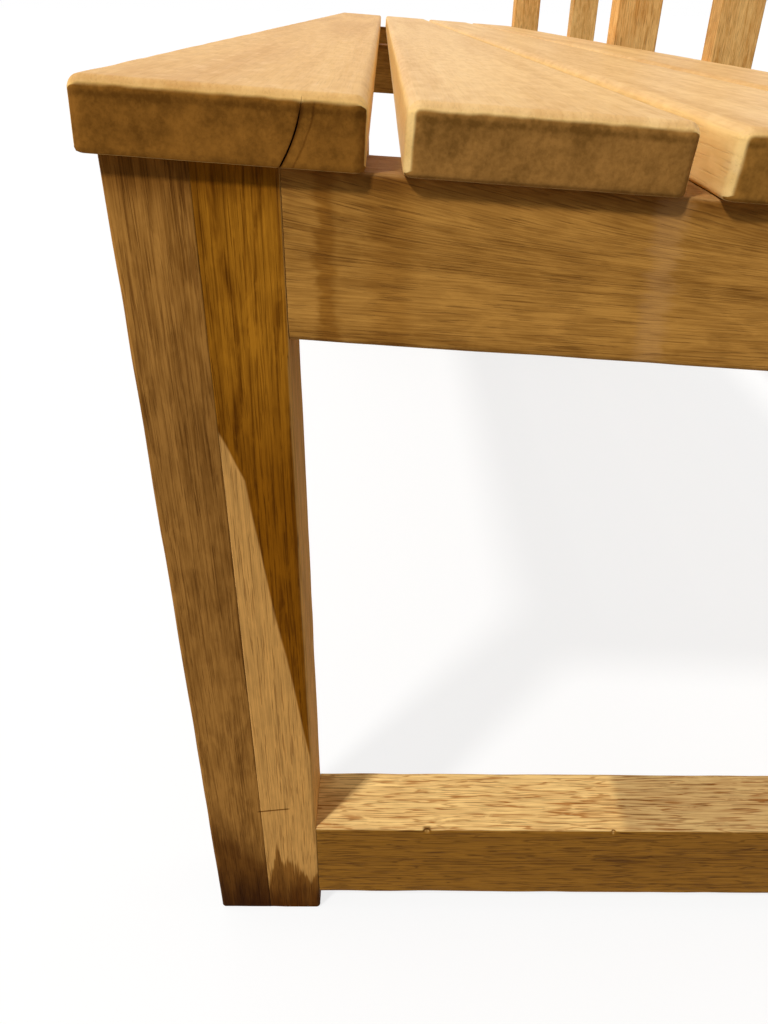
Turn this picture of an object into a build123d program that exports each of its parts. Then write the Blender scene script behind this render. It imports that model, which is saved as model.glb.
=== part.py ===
from build123d import *
import math
import os

# Coat rack bench in solid oak, in millimetres, +Z up.
# The bench runs along X and its front faces -Y. Three identical frames carry four
# seat planks, a peg board and a hat shelf. Everything is first placed with Y = 0 at
# the front face of the legs; the last step puts the origin on the floor under the
# middle of the finished bench.

# Stock that the legs, posts, rails, stretchers and ties are cut from
stock_width = 60
stock_depth = 40
stock_arris = 2

# Frames: centre to centre along the bench, and how far apart the two posts stand
frame_spacing = 1000
post_clear_gap = 80
post_height = 1700
floor_gap = 17

# Seat: height of its top above the floor at the front face of the legs
seat_height = 450
seat_slope = 3.4
plank_count = 4
plank_width = 95
plank_thickness = 23
plank_gap = 12
plank_front_overhang = 5
plank_end_overhang = 5
plank_arris = 4.5
plank_under_arris = 1.5
seat_to_post_gap = 3

# Mortise and tenon joints of the frames
tenon_thickness = 14
tenon_shoulder = 8
tenon_depth_share = 0.4
tenon_side_gap = 0.1
tenon_end_gap = 1

# Rear rails between neighbouring frames
rear_rail_underside = 200
rear_rail_height = 60
rear_rail_thickness = 22
rear_tenon_length = 15

# Bearers that cap the posts and carry the hat shelf
bearer_height = 45
bearer_front_overhang = 60
bearer_rear_overhang = 20
bearer_end_chamfer = 15
slat_count = 4
slat_width = 58
slat_thickness = 20
slat_arris = 3

# Peg board and its turned pegs
board_height = 90
board_thickness = 22
board_arris = 3
board_middle_height = 1520
peg_spacing = 200
pegs_per_bay = 5
peg_tenon_radius = 6
peg_tenon_length = 18
peg_base_radius = 9
peg_base_length = 5
peg_neck_radius = 5.5
peg_neck_length = 24
peg_swell_radius = 7.5
peg_swell_reach = 56
peg_groove_radius = 6
peg_groove_length = 3
peg_head_radius = 13
peg_head_length = 16
peg_crown = 5

# Fasteners
screw_radius = 2.5
screw_head_radius = 4.75
screw_head_height = 3
screw_hole_gap = 0.1
screw_head_gap = 0.4
screw_end_gap = 1
seat_screw_grip = 35
seat_screw_bite = 15
seat_screw_pitch = 50
board_screw_bite = 26
board_screw_pitch = 50
shelf_screw_bite = 16
plug_radius = 5.5
board_plug_depth = 7
shelf_plug_depth = 5
plug_side_gap = 0.1
dowel_radius = 5
dowel_in_leg = 24
dowel_in_plank = 13
dowel_side_gap = 0.1
dowel_end_gap = 1

# Edges that turn by less than this from a direction count as running along it
same_direction_angle = math.radians(1)

# The arris of a thin board is at most this share of its thickness
arris_limit_share = 0.3

# Places that follow from the sizes above
frame_names = ("left", "middle", "right")
frame_places = dict(zip(frame_names, (-frame_spacing, 0, frame_spacing)))
frames_length = 2 * frame_spacing + stock_depth
seat_length = frames_length + 2 * plank_end_overhang
stave_width = stock_width / 2
tenon_length = tenon_depth_share * stock_width
slope = math.radians(seat_slope)
seat_reach = plank_count * plank_width + (plank_count - 1) * plank_gap - plank_front_overhang
plank_drop = plank_thickness / math.cos(slope)
rail_drop = stock_width / math.cos(slope)
front_post_y = seat_reach * math.cos(slope) + seat_to_post_gap
rear_post_y = front_post_y + stock_width + post_clear_gap
bearer_y = front_post_y - bearer_front_overhang
bearer_length = rear_post_y + stock_width + bearer_rear_overhang - bearer_y
slat_gap = (bearer_length - slat_count * slat_width) / (slat_count - 1)
shelf_underside = post_height + bearer_height

# How far the lowest front arris of the first plank stands out in front of the legs
front_reach = (
    (plank_front_overhang - plank_under_arris) * math.cos(slope)
    + (plank_thickness - plank_under_arris) * math.sin(slope)
    + plank_under_arris
)
middle_y = (bearer_y + bearer_length - front_reach) / 2


def seat_underside(y):
    """Height of the underside of the planks at a distance y behind the front faces."""
    return seat_height - plank_drop - y * math.tan(slope)


def seat_place(shape):
    """Take a shape from the flat seat's own frame to its sloping place.

    In that frame Y runs back along the seat from the front face of the legs, and
    Z = 0 is the top of the seat.
    """
    return Location((0, 0, seat_height), (-seat_slope, 0, 0)) * shape


def side_outline(points, width):
    """Solid of one width along X from an outline of (y, z) points."""
    face = Plane.YZ * make_face(Polyline(*points, close=True))
    return extrude(face, amount=width / 2, both=True)


def block(x_range, y_range, z_range):
    """Box between two places on each axis."""
    size = [high - low for low, high in (x_range, y_range, z_range)]
    middle = [(high + low) / 2 for low, high in (x_range, y_range, z_range)]
    return Pos(*middle) * Box(*size)


def ease(shape, direction, radius):
    """Round the edges that run along one direction."""
    wanted = Vector(*direction).normalized()
    edges = [
        edge for edge in shape.edges()
        if abs(edge.tangent_at(0).dot(wanted)) > math.cos(same_direction_angle)
    ]
    return fillet(edges, radius)


def rod(radius, length, start, axis):
    """Cylinder from a start point along an axis."""
    plane = Plane(origin=start, z_dir=axis)
    return plane * Cylinder(radius, length, align=(Align.CENTER, Align.CENTER, Align.MIN))


def tenon_pair(y_shoulder, reach, low, high, slope_angle=0):
    """Tenon and the mortise that takes it, both along Y from a shoulder.

    reach is the tenon's length with its sign, low and high are the heights of the
    member's lower and upper faces at the shoulder, and the tenon falls with the slope.
    """
    fall = reach * math.tan(slope_angle)
    bottom = low + tenon_shoulder
    top = high - tenon_shoulder
    tenon = side_outline(
        [
            (y_shoulder, bottom),
            (y_shoulder + reach, bottom - fall),
            (y_shoulder + reach, top - fall),
            (y_shoulder, top),
        ],
        tenon_thickness,
    )
    sign = math.copysign(1, reach)
    deep = y_shoulder + reach + sign * tenon_end_gap
    fall_deep = (deep - y_shoulder) * math.tan(slope_angle)
    mortise = side_outline(
        [
            (y_shoulder, bottom - tenon_side_gap),
            (deep, bottom - tenon_side_gap - fall_deep),
            (deep, top + tenon_side_gap - fall_deep),
            (y_shoulder, top + tenon_side_gap),
        ],
        tenon_thickness + 2 * tenon_side_gap,
    )
    return tenon, mortise


def split_staves(member, y_front):
    """Cut a glued-up member into the two staves it was made from."""
    glue_line = Plane(origin=(0, y_front + stave_width, 0), z_dir=(0, 1, 0))
    front = split(member, bisect_by=glue_line, keep=Keep.BOTTOM)
    back = split(member, bisect_by=glue_line, keep=Keep.TOP)
    return [front, back]


# Frame members, each modelled at the middle frame

def seat_rail_joints():
    """Tenons and mortises at the two ends of a seat rail."""
    front_top = seat_underside(stock_width)
    rear_top = seat_underside(front_post_y)
    front = tenon_pair(stock_width, -tenon_length, front_top - rail_drop, front_top, slope)
    rear = tenon_pair(front_post_y, tenon_length, rear_top - rail_drop, rear_top, slope)
    return front, rear


def stretcher_joints():
    """Tenons and mortises at the two ends of a floor stretcher."""
    top = floor_gap + stock_width
    front = tenon_pair(stock_width, -tenon_length, floor_gap, top)
    rear = tenon_pair(front_post_y, tenon_length, floor_gap, top)
    return front, rear


def tie_joints(underside):
    """Tenons and mortises of a short tie between the front and the rear post."""
    y_front = front_post_y + stock_width
    front = tenon_pair(y_front, -tenon_length, underside, underside + stock_width)
    rear = tenon_pair(rear_post_y, tenon_length, underside, underside + stock_width)
    return front, rear


def seat_tie_underside():
    """A seat tie carries on level from the rear end of the seat rail."""
    return seat_underside(front_post_y) - rail_drop


def seat_rail():
    """Rail under the planks, parallel to the seat, from the leg to the front post."""
    y_from = stock_width
    y_to = front_post_y
    body = side_outline(
        [
            (y_from, seat_underside(y_from) - rail_drop),
            (y_to, seat_underside(y_to) - rail_drop),
            (y_to, seat_underside(y_to)),
            (y_from, seat_underside(y_from)),
        ],
        stock_depth,
    )
    body = ease(body, (0, math.cos(slope), -math.sin(slope)), stock_arris)
    front, rear = seat_rail_joints()
    rail = body + front[0] + rear[0]
    for place in rail_screw_places():
        rail -= seat_place(seat_screw_hole(place))
    return rail


def floor_stretcher():
    """Low stretcher, flush with the leg and the front post."""
    body = block(
        (-stock_depth / 2, stock_depth / 2),
        (stock_width, front_post_y),
        (floor_gap, floor_gap + stock_width),
    )
    body = ease(body, (0, 1, 0), stock_arris)
    front, rear = stretcher_joints()
    return body + front[0] + rear[0]


def tie(underside):
    """Short tie between the two posts of a frame."""
    body = block(
        (-stock_depth / 2, stock_depth / 2),
        (front_post_y + stock_width, rear_post_y),
        (underside, underside + stock_width),
    )
    body = ease(body, (0, 1, 0), stock_arris)
    front, rear = tie_joints(underside)
    return body + front[0] + rear[0]


def upright(y_front, height, top_slope=0):
    """Leg or post from the floor up, with its long edges and its foot eased."""
    fall = stock_width * math.tan(top_slope)
    body = side_outline(
        [
            (y_front, 0),
            (y_front + stock_width, 0),
            (y_front + stock_width, height - fall),
            (y_front, height),
        ],
        stock_depth,
    )
    body = ease(body, (0, 0, 1), stock_arris)
    foot = body.faces().sort_by(Axis.Z)[0].edges()
    return fillet(foot, stock_arris / 2)


def front_leg():
    """Front leg in two staves, cut at the top to the slope of the seat."""
    leg = upright(0, seat_underside(0), slope)
    leg -= seat_rail_joints()[0][1]
    leg -= stretcher_joints()[0][1]
    leg -= seat_place(dowel_hole())
    return split_staves(leg, 0)


def post_top_tenon(y_front, gap=0, end_gap=0):
    """Tenon on top of a post, or the mortise for it when given its gaps."""
    half = tenon_thickness / 2 + gap
    return block(
        (-half, half),
        (y_front + tenon_shoulder - gap, y_front + stock_width - tenon_shoulder + gap),
        (post_height, post_height + tenon_length + end_gap),
    )


def front_post():
    """Post right behind the seat, in two staves."""
    post = upright(front_post_y, post_height)
    post += post_top_tenon(front_post_y)
    post -= seat_rail_joints()[1][1]
    post -= stretcher_joints()[1][1]
    post -= tie_joints(floor_gap)[0][1]
    post -= tie_joints(seat_tie_underside())[0][1]
    for z in board_screw_heights():
        post -= rod(screw_radius + screw_hole_gap, board_screw_bite + screw_end_gap,
                    (0, front_post_y, z), (0, 1, 0))
    return split_staves(post, front_post_y)


def rear_post(sides):
    """Rear post in two staves; sides says on which faces a rear rail comes in."""
    post = upright(rear_post_y, post_height)
    post += post_top_tenon(rear_post_y)
    post -= tie_joints(floor_gap)[1][1]
    post -= tie_joints(seat_tie_underside())[1][1]
    for side in sides:
        post -= rear_rail_mortise(side)
    return split_staves(post, rear_post_y)


def rear_tenon_block(gap, x_range):
    """Tenon of a rear rail, or its mortise when given a gap, in the rail's own place."""
    half = tenon_thickness / 2 + gap
    y_middle = rear_post_y + stock_width / 2
    return block(
        x_range,
        (y_middle - half, y_middle + half),
        (
            rear_rail_underside + tenon_shoulder - gap,
            rear_rail_underside + rear_rail_height - tenon_shoulder + gap,
        ),
    )


def rear_rail_mortise(side):
    """Mortise in a rear post, on its face towards +X (side 1) or -X (side -1)."""
    face = side * stock_depth / 2
    deep = face - side * (rear_tenon_length + tenon_end_gap)
    return rear_tenon_block(tenon_side_gap, (min(face, deep), max(face, deep)))


def rear_rail():
    """Rail between two rear posts, modelled for the bay to the right of the middle."""
    x_from = stock_depth / 2
    x_to = frame_spacing - stock_depth / 2
    y_middle = rear_post_y + stock_width / 2
    body = block(
        (x_from, x_to),
        (y_middle - rear_rail_thickness / 2, y_middle + rear_rail_thickness / 2),
        (rear_rail_underside, rear_rail_underside + rear_rail_height),
    )
    body = ease(body, (1, 0, 0), stock_arris)
    tenons = rear_tenon_block(0, (x_from - rear_tenon_length, x_to + rear_tenon_length))
    return body + tenons


def shelf_bearer():
    """Bearer across the tops of the two posts, with its ends cut back underneath."""
    y_to = bearer_y + bearer_length
    body = side_outline(
        [
            (bearer_y + bearer_end_chamfer, post_height),
            (y_to - bearer_end_chamfer, post_height),
            (y_to, post_height + bearer_end_chamfer),
            (y_to, shelf_underside),
            (bearer_y, shelf_underside),
            (bearer_y, post_height + bearer_end_chamfer),
        ],
        stock_depth,
    )
    body = ease(body, (0, 1, 0), stock_arris)
    for y in (front_post_y, rear_post_y):
        body -= post_top_tenon(y, tenon_side_gap, tenon_end_gap)
    for y in slat_middles():
        body -= rod(screw_radius + screw_hole_gap, shelf_screw_bite + screw_end_gap,
                    (0, y, shelf_underside), (0, 0, -1))
    return body


# Seat planks and what holds them, in the seat's own frame

def plank_front(index):
    """Front edge of a plank, measured back along the seat from the legs' front faces."""
    return index * (plank_width + plank_gap) - plank_front_overhang


def rail_screw_places():
    """Where the screws come up through a seat rail, measured back along the seat."""
    places = []
    for index in range(plank_count):
        middle = plank_front(index) + plank_width / 2
        for offset in (-seat_screw_pitch / 2, seat_screw_pitch / 2):
            if middle + offset > stock_width + screw_head_radius:
                places.append(middle + offset)
    return places


def rounded_board(length, width, thickness, top_radius, under_radius):
    """Board along X with its top at Z = 0, its arrises eased top and bottom."""
    board = block((-length / 2, length / 2), (0, width), (-thickness, 0))
    board = fillet(board.edges().filter_by(Axis.Z), top_radius)
    top = board.faces().sort_by(Axis.Z)[-1].edges()
    board = fillet(top, min(top_radius, arris_limit_share * thickness))
    under = board.faces().sort_by(Axis.Z)[0].edges()
    return fillet(under, under_radius)


def seat_screw(place):
    """Screw up through the rail into a plank; its head sits in a deep hole."""
    head_z = -plank_thickness - seat_screw_grip
    shank = rod(screw_radius, seat_screw_grip + seat_screw_bite, (0, place, head_z), (0, 0, 1))
    head = rod(screw_head_radius, screw_head_height, (0, place, head_z), (0, 0, -1))
    return shank + head


def seat_screw_hole(place):
    """Hole for a seat screw through the rail and up into the plank."""
    head_z = -plank_thickness - seat_screw_grip
    shank = rod(
        screw_radius + screw_hole_gap,
        seat_screw_grip + seat_screw_bite + screw_end_gap,
        (0, place, head_z),
        (0, 0, 1),
    )
    depth = stock_width - seat_screw_grip + screw_end_gap
    head = rod(screw_head_radius + screw_head_gap, depth, (0, place, head_z), (0, 0, -1))
    return shank + head


def leg_dowel():
    """Dowel in the front stave of a leg that locates the first plank."""
    start = (0, stave_width / 2, -plank_thickness - dowel_in_leg)
    return rod(dowel_radius, dowel_in_leg + dowel_in_plank, start, (0, 0, 1))


def dowel_hole():
    """Hole for a leg dowel, in the leg and up into the plank."""
    start = (0, stave_width / 2, -plank_thickness - dowel_in_leg - dowel_end_gap)
    length = dowel_in_leg + dowel_in_plank + 2 * dowel_end_gap
    return rod(dowel_radius + dowel_side_gap, length, start, (0, 0, 1))


def seat_plank(index):
    """One plank of the seat, with the blind holes on its underside."""
    front = plank_front(index)
    board = rounded_board(seat_length, plank_width, plank_thickness, plank_arris, plank_under_arris)
    plank = Pos(0, front, 0) * board
    for x in frame_places.values():
        for place in rail_screw_places():
            if front < place < front + plank_width:
                plank -= Pos(x, 0, 0) * seat_screw_hole(place)
        if index == 0:
            plank -= Pos(x, 0, 0) * dowel_hole()
    return seat_place(plank)


# Peg board

def board_screw_heights():
    """Heights of the two screws that hold the peg board to each front post."""
    half = board_screw_pitch / 2
    return (board_middle_height - half, board_middle_height + half)


def peg_places():
    """Places of the pegs along the board, evenly spread in the two bays."""
    places = []
    for bay_middle in (-frame_spacing / 2, frame_spacing / 2):
        first = bay_middle - (pegs_per_bay - 1) * peg_spacing / 2
        places += [first + number * peg_spacing for number in range(pegs_per_bay)]
    return places


def plugged_screw(face, axis, plug_depth, board, bite):
    """Screw whose head lies under a wooden plug, and the holes for both.

    face is the point on the board's outer face, axis points into the wood.
    """
    into = Vector(*axis)
    start = Vector(*face)
    seat = start + into * (plug_depth + screw_head_height)
    shank_length = board - plug_depth - screw_head_height + bite
    head = rod(screw_head_radius, screw_head_height, start + into * plug_depth, axis)
    screw = head + rod(screw_radius, shank_length, seat, axis)
    plug = rod(plug_radius, plug_depth, face, axis)
    wide = rod(plug_radius + plug_side_gap, plug_depth + screw_head_height, face, axis)
    narrow = rod(screw_radius + screw_hole_gap, shank_length, seat, axis)
    return screw, plug, wide + narrow


def board_fasteners():
    """Screws, plugs and holes of the peg board, two at each front post."""
    y_face = front_post_y - board_thickness
    return [
        plugged_screw((x, y_face, z), (0, 1, 0), board_plug_depth, board_thickness, board_screw_bite)
        for x in frame_places.values()
        for z in board_screw_heights()
    ]


def peg_board():
    """Board across the front posts, bored for the pegs."""
    y_face = front_post_y - board_thickness
    board = block(
        (-frames_length / 2, frames_length / 2),
        (y_face, front_post_y),
        (board_middle_height - board_height / 2, board_middle_height + board_height / 2),
    )
    front_edges = board.faces().sort_by(Axis.Y)[0].edges()
    board = fillet(front_edges, board_arris)
    for _, _, hole in board_fasteners():
        board -= hole
    for x in peg_places():
        board -= rod(peg_tenon_radius + plug_side_gap, peg_tenon_length + dowel_end_gap,
                     (x, y_face, board_middle_height), (0, 1, 0))
    return board


def coat_peg(x):
    """Turned peg: tenon, base, slim neck that swells, a groove and a domed head."""
    head_start = peg_swell_reach + peg_groove_length
    head_end = head_start + peg_head_length
    neck_end = peg_base_length + peg_neck_length
    swell_radius_mid = (peg_neck_radius + peg_swell_radius) / 2
    swell_reach_mid = (neck_end + peg_swell_reach) / 2
    outline = [
        Line((0, -peg_tenon_length), (peg_tenon_radius, -peg_tenon_length)),
        Line((peg_tenon_radius, -peg_tenon_length), (peg_tenon_radius, 0)),
        Line((peg_tenon_radius, 0), (peg_base_radius, 0)),
        Line((peg_base_radius, 0), (peg_base_radius, peg_base_length)),
        Spline(
            (peg_base_radius, peg_base_length),
            (peg_neck_radius, neck_end),
            (swell_radius_mid, swell_reach_mid),
            (peg_swell_radius, peg_swell_reach),
            tangents=((-1, 1), (0, 1)),
        ),
        Line((peg_swell_radius, peg_swell_reach), (peg_groove_radius, peg_swell_reach)),
        Line((peg_groove_radius, peg_swell_reach), (peg_groove_radius, head_start)),
        Line((peg_groove_radius, head_start), (peg_swell_radius, head_start)),
        Spline(
            (peg_swell_radius, head_start),
            (peg_head_radius, head_end - peg_crown),
            (0, head_end),
            tangents=((1, 1), (-1, 0)),
        ),
        Line((0, head_end), (0, -peg_tenon_length)),
    ]
    peg = revolve(make_face(outline), Axis.Y)
    y_face = front_post_y - board_thickness
    return Location((x, y_face, board_middle_height), (0, 0, 180)) * peg


# Hat shelf

def slat_middles():
    """Middle of each shelf slat, front to back."""
    pitch = slat_width + slat_gap
    return [bearer_y + slat_width / 2 + number * pitch for number in range(slat_count)]


def slat_fasteners(y):
    """Screws, plugs and holes of one slat, one at each bearer."""
    top = shelf_underside + slat_thickness
    return [
        plugged_screw((x, y, top), (0, 0, -1), shelf_plug_depth, slat_thickness, shelf_screw_bite)
        for x in frame_places.values()
    ]


def shelf_slat(y):
    """One slat of the hat shelf."""
    board = rounded_board(seat_length, slat_width, slat_thickness, slat_arris, plank_under_arris)
    slat = Pos(0, y - slat_width / 2, shelf_underside + slat_thickness) * board
    for _, _, hole in slat_fasteners(y):
        slat -= hole
    return slat


# The whole bench

def at_frames(make):
    """The same fastener at each of the three frames."""
    return [Pos(x, 0, 0) * make() for x in frame_places.values()]


def build():
    """Every piece by name, each as a list of separate solids."""
    nodes = {}
    members = {
        "front_leg": front_leg(),
        "seat_rail": [seat_rail()],
        "floor_stretcher": [floor_stretcher()],
        "front_post": front_post(),
        "post_tie_low": [tie(floor_gap)],
        "post_tie_seat": [tie(seat_tie_underside())],
        "shelf_bearer": [shelf_bearer()],
    }
    rear_posts = {
        "left": rear_post((1,)),
        "middle": rear_post((-1, 1)),
        "right": rear_post((-1,)),
    }
    for name, x in frame_places.items():
        for member, solids in members.items():
            nodes[f"{member}_{name}"] = [Pos(x, 0, 0) * solid for solid in solids]
        nodes[f"rear_post_{name}"] = [Pos(x, 0, 0) * solid for solid in rear_posts[name]]

    nodes["rear_rail_right"] = [rear_rail()]
    nodes["rear_rail_left"] = [Pos(-frame_spacing, 0, 0) * rear_rail()]

    for index in range(plank_count):
        nodes[f"seat_plank_{index + 1}"] = [seat_plank(index)]
    nodes["seat_screws"] = [
        Pos(x, 0, 0) * seat_place(seat_screw(place))
        for x in frame_places.values()
        for place in rail_screw_places()
    ]
    nodes["leg_dowels"] = at_frames(lambda: seat_place(leg_dowel()))

    nodes["peg_board"] = [peg_board()]
    nodes["peg_board_screws"] = [screw for screw, _, _ in board_fasteners()]
    nodes["peg_board_plugs"] = [plug for _, plug, _ in board_fasteners()]
    for number, x in enumerate(peg_places(), start=1):
        nodes[f"coat_peg_{number:02d}"] = [coat_peg(x)]

    slat_parts = [slat_fasteners(y) for y in slat_middles()]
    for number, y in enumerate(slat_middles(), start=1):
        nodes[f"shelf_slat_{number}"] = [shelf_slat(y)]
    nodes["shelf_screws"] = [screw for parts in slat_parts for screw, _, _ in parts]
    nodes["shelf_plugs"] = [plug for parts in slat_parts for _, plug, _ in parts]
    return nodes


def write(nodes):
    """Put the origin under the middle of the bench and write one file per piece."""
    os.makedirs("parts", exist_ok=True)
    for name, solids in nodes.items():
        placed = [Pos(0, -middle_y, 0) * solid for solid in solids]
        shape = placed[0] if len(placed) == 1 else Compound(children=placed)
        export_step(shape, f"parts/{name}.step")


write(build())
print("origin lies", round(middle_y, 3), "behind the front faces of the legs")
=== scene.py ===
"""Looks of the coat rack bench: oiled oak with worn arrises, paler partly as painted highlight, on a plain
pale floor. Lengths are metres.
"""

import math
import random
from functools import partialmethod
from typing import NamedTuple

import bmesh
import bpy
import numpy as np
from mathutils import Matrix, Vector, noise


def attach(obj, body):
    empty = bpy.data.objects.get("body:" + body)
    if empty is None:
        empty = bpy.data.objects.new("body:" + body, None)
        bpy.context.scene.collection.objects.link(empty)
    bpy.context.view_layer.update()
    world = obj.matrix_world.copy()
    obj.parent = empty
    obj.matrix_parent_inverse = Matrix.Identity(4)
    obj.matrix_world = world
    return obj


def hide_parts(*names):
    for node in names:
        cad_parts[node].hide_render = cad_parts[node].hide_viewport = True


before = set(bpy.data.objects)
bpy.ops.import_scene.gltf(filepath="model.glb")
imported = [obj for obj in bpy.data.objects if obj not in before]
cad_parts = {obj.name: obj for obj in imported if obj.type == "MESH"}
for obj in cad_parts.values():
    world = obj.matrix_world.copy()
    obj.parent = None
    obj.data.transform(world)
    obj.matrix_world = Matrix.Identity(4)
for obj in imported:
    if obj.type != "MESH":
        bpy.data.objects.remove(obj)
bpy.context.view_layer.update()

MM = 0.001
SIDES = ("left", "middle", "right")
NEAR_SIDE = "right"
X, Y, Z = AXES = (0, 1, 2)

# Seed of each frame and plank, and of the first other piece
FRAME_SEEDS = (0, 10, 20)
PLANK_SEEDS = (43, 46, 49, 52)
OTHER_SEED = 101

# The camera: where it stands, how it is turned, and the lens that sees the photograph's field
CAMERA_PLACE = Vector((1.3040, -0.2198, 0.4690))
CAMERA_DOWN = math.radians(32.4257)
CAMERA_TURN = math.radians(0.4581)
CAMERA_ROLL = math.radians(-0.7317)
FOCAL_PIXELS = 799.88
PICTURE_HEIGHT = 1024
SENSOR = 36

# The seat falls to the back at this angle, so its planks are measured in a turned frame
SEAT_SLOPE = math.radians(3.4)
SEAT_TURN = Matrix.Rotation(SEAT_SLOPE, 3, "X")

# Arrises of the boards that are modelled here
STOCK_ARRIS = 2 * MM
FOOT_ARRIS = 2.2 * MM
JOINT_ARRIS = 0.35 * MM
GLUE_ARRIS = 0.06 * MM
PLANK_ARRIS = 4.5 * MM
PLANK_UNDER_ARRIS = 1.5 * MM

# Grid of those boards: fine near the ends, coarser along the middle
FINE_STEP = 1.4 * MM
PLANK_STEP = 16 * MM
STOCK_STEP = 4 * MM
STEP_GROWTH = 1.07
CLOSEST_LINES = MM / 50
PLACE_DIGITS = 7
ROUND_LINES = 5


def node_points(node, turn=Matrix.Identity(3)):
    """All vertices of a CAD node, in a frame turned by a matrix."""
    points = np.array([v.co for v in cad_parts[node].data.vertices], float)
    return points @ np.array(turn).T


def node_corners(node, turn=Matrix.Identity(3)):
    """Lowest and highest corner of a CAD node, in a frame turned by a matrix."""
    points = node_points(node, turn)
    return points.min(0), points.max(0)


def long_lines(low, high, coarse_step):
    """Places from low to high that lie close together at both ends and spread out between them."""
    half = (high - low) / 2
    steps = [0.0]
    step = FINE_STEP
    while steps[-1] < half:
        steps.append(steps[-1] + step)
        step = min(coarse_step, step * STEP_GROWTH)
    places = np.array(steps) * half / steps[-1]
    return np.unique(np.concatenate([low + places, high - places]))


def edge_lines(face, inward, radius):
    """Places that turn a rounded edge in equal angles, from the face inwards."""
    angles = np.linspace(math.pi / 4, 0, ROUND_LINES)
    return face + inward * radius * (1 - np.tan(angles))


def grid_lines(low, high, radius, coarse_step=None, extra=()):
    """All grid places along one axis of a board with rounded edges; a coarse step spreads them out."""
    inner_low, inner_high = low + radius, high - radius
    if coarse_step:
        between = long_lines(inner_low, inner_high, coarse_step)
    else:
        count = max(2, round((inner_high - inner_low) / FINE_STEP) + 1)
        between = np.linspace(inner_low, inner_high, count)
    places = np.concatenate([edge_lines(low, 1, radius), between, edge_lines(high, -1, radius), extra])
    places = np.unique(np.round(places, PLACE_DIGITS))
    keep = np.append(True, np.diff(places) > CLOSEST_LINES)
    return places[keep]


def box_skin(lines):
    """Vertices and outward quads of a box's skin on three sets of grid lines."""
    shape = [len(line) for line in lines]
    index = np.indices(shape)
    on_skin = np.zeros(shape, bool)
    for axis in AXES:
        on_skin |= (index[axis] == 0) | (index[axis] == shape[axis] - 1)
    number = np.full(shape, -1)
    number[on_skin] = np.arange(on_skin.sum())
    points = np.stack([lines[axis][index[axis][on_skin]] for axis in AXES], 1)
    quads = []
    for axis in AXES:
        for end, flip in ((0, True), (shape[axis] - 1, False)):
            sheet = np.take(number, end, axis)
            if axis == Y:
                flip = not flip
            corners = [sheet[:-1, :-1], sheet[1:, :-1], sheet[1:, 1:], sheet[:-1, 1:]]
            if flip:
                corners.reverse()
            quads.append(np.stack([corner.ravel() for corner in corners], 1))
    return points, np.concatenate(quads)


def round_edge(points, corner, axes, signs, radius):
    """Round the edge where two axes' faces of a box meet; radius may vary by point."""
    depths = [sign * (place - points[:, axis]) for axis, place, sign in zip(axes, corner, signs)]
    inside = np.maximum(*depths) < radius
    across = [np.where(inside, 1 - depth / radius, 0) for depth in depths]
    reach = np.maximum(np.hypot(*across), 1e-9)
    shrink = np.where(inside, np.maximum(*across) / reach, 1)
    for axis, place, sign, share in zip(axes, corner, signs, across):
        moved = place - sign * radius * (1 - share * shrink)
        points[:, axis] = np.where(inside, moved, points[:, axis])


def edge_distance(points, low, high):
    """How far each point of a box's skin lies from the nearest arris."""
    depth = np.minimum(points - low, high - points)
    return np.sort(depth, 1)[:, 1]


def smooth_step(value, start, end):
    """0 at start, 1 at end, with an easy curve between."""
    share = np.clip((value - start) / (end - start), 0, 1)
    return share * share * (3 - 2 * share)


# Noise of a board's surface: scales along and across the grain, per metre, and a shift for each seed
PLANING_WAVES = (14.0, 70.0)
SAW_WAVES = (150.0, 260.0)
KNOCK_WAVES = (38.0, 60.0)
KNOCK_SHARE = 0.15
NICK_CORE = 0.3
SEED_SHIFT = (7.3, 3.1, 5.7)


def noise_at(points, grain, waves, seed):
    """Smooth noise from -1 to 1 at each point, stretched along the grain."""
    scales = [waves[0] if axis == grain else waves[1] for axis in AXES]
    stretched = points * np.array(scales)
    shift = Vector([seed * step for step in SEED_SHIFT])
    return np.array([noise.noise(Vector(p) + shift) for p in stretched])


class Wear(NamedTuple):
    """How uneven a board is, in metres; exposed gives the share of arris wear at each point."""

    face: float = 0.1 * MM
    end: float = 0.12 * MM
    arris: float = 0.4 * MM
    reach: float = 6 * MM
    exposed: object = None
    nicks: tuple = ()


def wear_down(points, normals, low, high, grain, wear, seed):
    """Move points inwards, where planing, sawing and use have left a board uneven."""
    at_end = smooth_step(np.abs(normals[:, grain]), 0.5, 0.95)
    near_arris = 1 - smooth_step(edge_distance(points, low, high), 0, wear.reach)
    depth = wear.face * (0.5 + 0.5 * noise_at(points, grain, PLANING_WAVES, seed)) * (1 - at_end)
    depth += wear.end * (0.5 + 0.5 * noise_at(points, grain, SAW_WAVES, seed + 1)) * at_end
    knocks = np.clip(noise_at(points, grain, KNOCK_WAVES, seed + 2) + KNOCK_SHARE, 0, 1)
    exposed = wear.exposed(points) if wear.exposed else 1.0
    depth += wear.arris * knocks * near_arris * exposed
    for place, size, nick_depth in wear.nicks:
        away = np.linalg.norm((points - np.array(place)) / np.array(size), axis=1)
        depth += nick_depth * (1 - smooth_step(away, NICK_CORE, 1))
    return points - normals * depth[:, None]


def mesh_from(name, points, quads):
    """A mesh with smooth shading from points and faces."""
    mesh = bpy.data.meshes.new(name)
    mesh.from_pydata(points.tolist(), [], quads.tolist())
    mesh.update()
    mesh.shade_smooth()
    return mesh


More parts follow.
